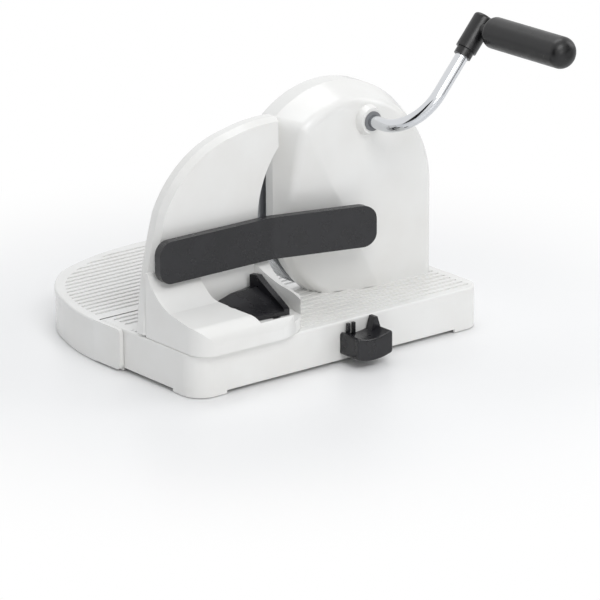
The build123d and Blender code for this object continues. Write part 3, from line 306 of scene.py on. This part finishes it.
# Crank bush, blade carrier, carriage shoes and suction plunger: grey nylon, moulded.
# Matt, with a fine grain of 1.2 mm from the tool.
material, tree, shader, place = new_material("grey_nylon_moulded")
shader.inputs["IOR"].default_value = 1.53
grain = add(tree, "ShaderNodeTexNoise", {"Vector": place, "Scale": 1 / 0.0012, "Detail": 3.0})
tone = add(tree, "ShaderNodeValToRGB", {"Fac": grain.outputs["Fac"]})
tone.color_ramp.elements[0].color = linear("#6c6d70")
tone.color_ramp.elements[1].color = linear("#86888b")
skin = add(tree, "ShaderNodeBump", {"Height": grain.outputs["Fac"], "Distance": 0.00005, "Strength": 0.4})
shader.inputs["Roughness"].default_value = 0.5
tree.links.new(tone.outputs["Color"], shader.inputs["Base Color"])
tree.links.new(skin.outputs["Normal"], shader.inputs["Normal"])
dress(["crank_bush", "blade_carrier", "carriage_shoes", "suction_plunger"], material)

# Suction pad and the foot pads of base and tray: black rubber, moulded.
# Dull, with dust in its pores, drawn 1 mm across.
material, tree, shader, place = new_material("black_rubber_moulded")
shader.inputs["IOR"].default_value = 1.52
pores = add(tree, "ShaderNodeTexNoise", {"Vector": place, "Scale": 1 / 0.001, "Detail": 5.0})
tone = add(tree, "ShaderNodeValToRGB", {"Fac": pores.outputs["Fac"]})
tone.color_ramp.elements[0].color = linear("#1d1d1d")
tone.color_ramp.elements[1].color = linear("#343434")
skin = add(tree, "ShaderNodeBump", {"Height": pores.outputs["Fac"], "Distance": 0.0001, "Strength": 0.5})
shader.inputs["Roughness"].default_value = 0.75
tree.links.new(tone.outputs["Color"], shader.inputs["Base Color"])
tree.links.new(skin.outputs["Normal"], shader.inputs["Normal"])
dress(["base_foot_pads", "suction_pad", "tray_foot_pads"], material)

# Thickness scale: grey paint wiped into the five notches of the base's left rim.
# Flat, with flecks 0.6 mm across.
material, tree, shader, place = new_material("grey_paint_filled")
shader.inputs["Roughness"].default_value = 0.6
fleck = add(tree, "ShaderNodeTexNoise", {"Vector": place, "Scale": 1 / 0.0006, "Detail": 3.0})
tone = add(tree, "ShaderNodeValToRGB", {"Fac": fleck.outputs["Fac"]})
tone.color_ramp.elements[0].color = linear("#4a4b4e")
tone.color_ramp.elements[1].color = linear("#6c6d70")
tree.links.new(tone.outputs["Color"], shader.inputs["Base Color"])
base_low, base_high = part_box("base_shell")
mark_count = 5
mark_pitch = 5 * mm
mark_half = 0.5 * mm       # half of a mark's width
mark_start = base_low.x + 3.3 * mm
mark_tip = base_low.x + 6.3 * mm
mark_bottom = base_high.z - 0.5 * mm
mark_top = base_high.z - 0.2 * mm
marks = bmesh.new()
for number in range(mark_count):
    y = blade_high.y - mark_pitch * (number + 1)
    outline = [(mark_start, y - mark_half), (mark_tip - mark_half, y - mark_half), (mark_tip, y),
               (mark_tip - mark_half, y + mark_half), (mark_start, y + mark_half)]
    low = [marks.verts.new((px, py, mark_bottom)) for px, py in outline]
    high = [marks.verts.new((px, py, mark_top)) for px, py in outline]
    marks.faces.new(high)
    for step in range(len(outline)):
        after = (step + 1) % len(outline)
        marks.faces.new((low[step], low[after], high[after], high[step]))
mesh_object("scale_marks", marks, material, "base")

# Floor: a wide white sheet under the slicer. It keeps the slicer's shadow and fades to plain white
# round it, so that no edge shows.
floor_half = 9
fade_start = 0.22
fade_end = 0.55
floor_data = bpy.data.meshes.new("floor")
floor_data.from_pydata([(-floor_half, -floor_half, 0), (floor_half, -floor_half, 0),
                        (floor_half, floor_half, 0), (-floor_half, floor_half, 0)], [], [(0, 1, 2, 3)])
floor = bpy.data.objects.new("floor", floor_data)
bpy.context.scene.collection.objects.link(floor)
material, tree, shader, place = new_material("white_floor")
shader.inputs["Base Color"].default_value = linear("#f6f6f6")
shader.inputs["Roughness"].default_value = 0.35
output = next(node for node in tree.nodes if node.type == "OUTPUT_MATERIAL")
distance = add(tree, "ShaderNodeVectorMath", {0: place, 1: (-0.02, 0.03, 0.0)}, operation="DISTANCE")
fade = add(tree, "ShaderNodeMapRange", {"Value": distance.outputs["Value"], "From Min": fade_start,
                                        "From Max": fade_end}, interpolation_type="SMOOTHSTEP")
path = add(tree, "ShaderNodeLightPath")
seen = add(tree, "ShaderNodeMath", {0: path.outputs["Is Camera Ray"], 1: fade.outputs["Result"]},
           operation="MULTIPLY")
plain = add(tree, "ShaderNodeEmission", {"Color": (1.0, 1.0, 1.0, 1.0), "Strength": 1.0})
both = add(tree, "ShaderNodeMixShader", {0: seen.outputs["Value"], 1: shader.outputs["BSDF"],
                                         2: plain.outputs["Emission"]})
tree.links.new(both.outputs["Shader"], output.inputs["Surface"])
floor_data.materials.append(material)

# World: a white studio. It is plain white where the camera or a reflection sees it, and an even,
# weaker fill for the rest.
world = bpy.data.worlds.new("studio")
bpy.context.scene.world = world
world.use_nodes = True
tree = world.node_tree
tree.nodes.clear()
path = add(tree, "ShaderNodeLightPath")
direct = add(tree, "ShaderNodeMath",
             {0: path.outputs["Is Camera Ray"], 1: path.outputs["Is Transmission Ray"]},
             operation="MAXIMUM")
shown = add(tree, "ShaderNodeMath", {0: direct.outputs["Value"], 1: path.outputs["Is Glossy Ray"]},
            operation="MAXIMUM")
fill = add(tree, "ShaderNodeBackground", {"Color": linear("#f2f4f7"), "Strength": 0.55})
white = add(tree, "ShaderNodeBackground", {"Color": (1.0, 1.0, 1.0, 1.0), "Strength": 1.0})
both = add(tree, "ShaderNodeMixShader", {0: shown.outputs["Value"], 1: fill.outputs["Background"],
                                         2: white.outputs["Background"]})
add(tree, "ShaderNodeOutputWorld", {"Surface": both.outputs["Shader"]})


# Lamps: a large soft one from the upper left, a weaker one from the right, one from above and a
# faint one from the front. All are soft boxes.
def lamp(name, place, target, size, watts):
    """A rectangular area lamp that looks at target."""
    light = bpy.data.lights.new(name, "AREA")
    light.shape = "RECTANGLE"
    light.size, light.size_y = size
    light.energy = watts
    thing = bpy.data.objects.new(name, light)
    bpy.context.scene.collection.objects.link(thing)
    thing.location = place
    towards = Vector(target) - Vector(place)
    thing.rotation_euler = towards.to_track_quat("-Z", "Y").to_euler()


lamp("key", (-0.5, -1.5, 1.7), (0.0, 0.0, 0.1), (1.2, 0.9), 15)
lamp("right", (1.5, -0.7, 1.0), (0.0, 0.0, 0.12), (0.7, 1.1), 4)
lamp("top", (0.2, 0.5, 1.9), (0.0, 0.05, 0.1), (1.4, 1.0), 10)
lamp("front", (-0.3, -2.0, 0.6), (0.0, 0.0, 0.12), (1.0, 0.6), 3)


# Dark cards beside the camera: they give the plated rod its dark bands. The camera doesn't see
# them, and they cast no shadow.
def card(name, place, width, height):
    """An upright dark sheet that faces the slicer."""
    data = bpy.data.meshes.new(name)
    data.from_pydata([(-width / 2, 0, -height / 2), (width / 2, 0, -height / 2), (width / 2, 0, height / 2),
                      (-width / 2, 0, height / 2)], [], [(0, 1, 2, 3)])
    thing = bpy.data.objects.new(name, data)
    bpy.context.scene.collection.objects.link(thing)
    thing.location = place
    thing.rotation_euler = (0, 0, atan2(place[0], -place[1]))
    thing.visible_camera = False
    thing.visible_diffuse = False
    thing.visible_shadow = False
    data.materials.append(card_material)


card_material, tree, shader, place = new_material("black_card")
shader.inputs["Base Color"].default_value = linear("#101010")
shader.inputs["Roughness"].default_value = 0.9
card("card_left", (-1.2, -0.3, 0.4), 0.7, 1.8)
card("card_right", (0.9, -1.2, 0.5), 0.5, 1.6)

# Camera: the photograph's view, three quarters from the front left and a little above, with a long
# lens.
camera_data = bpy.data.cameras.new("camera")
camera_data.sensor_width = 36
camera_data.lens = 264.7
camera_data.clip_end = 100
camera = bpy.data.objects.new("camera", camera_data)
bpy.context.scene.collection.objects.link(camera)
camera.location = (-2.38775, -2.96293, 1.29414)
camera.rotation_euler = (radians(71.767), radians(0.218), radians(-38.750))
bpy.context.scene.camera = camera
bpy.context.scene.view_settings.view_transform = "Standard"
